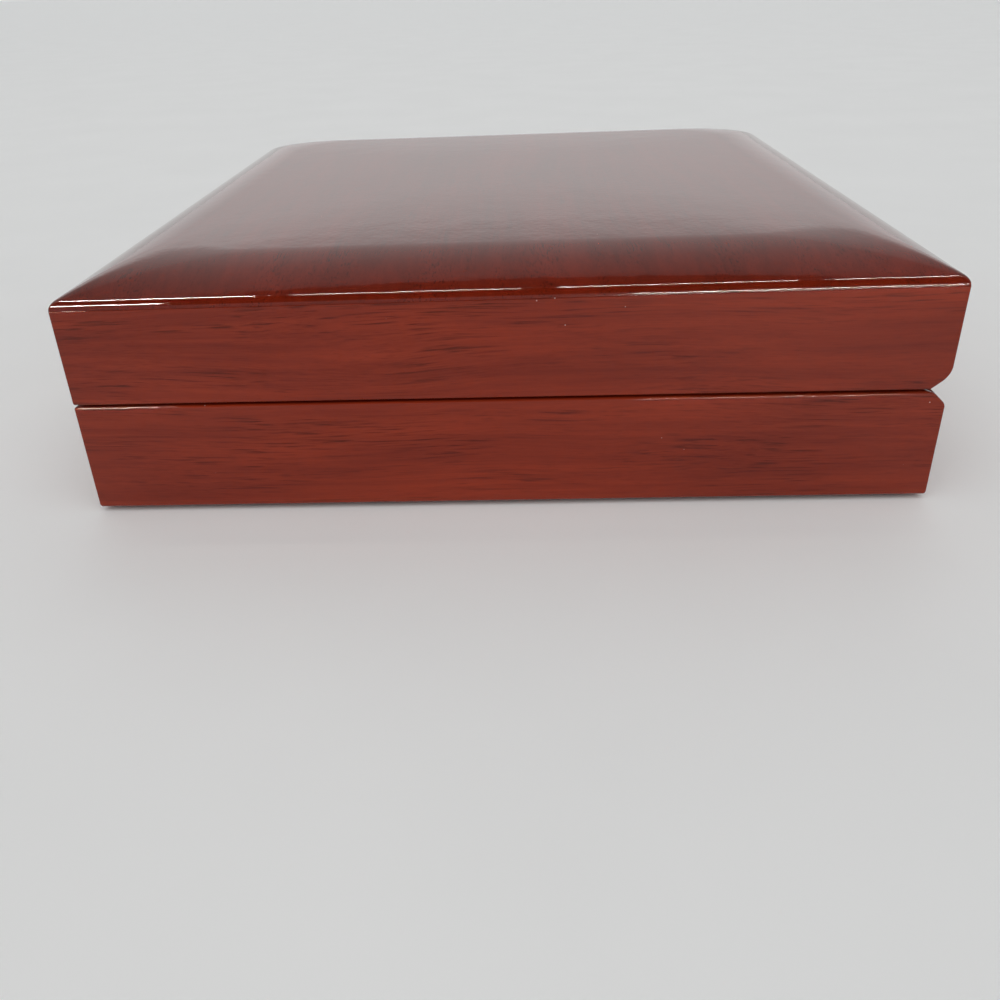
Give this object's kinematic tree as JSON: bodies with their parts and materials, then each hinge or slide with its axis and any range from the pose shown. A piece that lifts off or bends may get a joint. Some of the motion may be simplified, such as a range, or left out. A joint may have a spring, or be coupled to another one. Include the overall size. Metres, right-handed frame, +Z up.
{
  "type": "jewelry box",
  "caption": "Lacquered wooden jewelry box, hinged pillow-topped lid over a lined base with ring rolls and cells.",
  "frame": {"origin": "centre of the underside, on the surface that the box stands on", "axes": "+X along the hinge line, +Y from the opening side to the hinge side, +Z up"},
  "size_m": [0.196, 0.185, 0.0547],
  "materials": {
    "lacquered_wood": "high gloss lacquer over cherry-stained straight grain",
    "fibreboard": "raw board",
    "felt": "short black felt",
    "velvet": "champagne velvet",
    "satin": "champagne satin, padded",
    "brass": "polished",
    "clear_rubber": "clear, smooth"
  },
  "bodies": {
    "base": {"back_left_divider": "velvet", "back_right_divider": "velvet", "base_back_liner": "velvet", "base_back_wall": "lacquered_wood", "base_bottom_panel": "fibreboard", "base_floor_lining": "velvet", "base_front_liner": "velvet", "base_front_wall": "lacquered_wood", "base_hinge_screws": "brass", "base_left_liner": "velvet", "base_left_wall": "lacquered_wood", "base_right_liner": "velvet", "base_right_wall": "lacquered_wood", "felt_pad": "felt", "front_divider": "velvet", "left_hinge_base_leaf": "brass", "left_hinge_pin": "brass", "left_rim_bumper": "clear_rubber", "long_divider": "velvet", "right_hinge_base_leaf": "brass", "right_hinge_pin": "brass", "right_rim_bumper": "clear_rubber", "ring_roll_1": "velvet", "ring_roll_2": "velvet", "ring_roll_3": "velvet", "ring_roll_4": "velvet", "ring_roll_5": "velvet", "ring_roll_6": "velvet", "ring_roll_7": "velvet"},
    "lid": {"left_hinge_lid_leaf": "brass", "lid_back_liner": "velvet", "lid_back_wall": "lacquered_wood", "lid_front_liner": "velvet", "lid_front_wall": "lacquered_wood", "lid_hinge_screws": "brass", "lid_left_liner": "velvet", "lid_left_wall": "lacquered_wood", "lid_pad": "satin", "lid_pad_board": "fibreboard", "lid_right_liner": "velvet", "lid_right_wall": "lacquered_wood", "lid_top_panel": "lacquered_wood", "right_hinge_lid_leaf": "brass"}
  },
  "joints": [
    {"name": "lid_hinge", "type": "hinge", "parent": "base", "child": "lid", "pos_m": [0, 0.0893, 0.02585], "axis": [-1, 0, 0], "range_deg": [0, 93]}
  ]
}
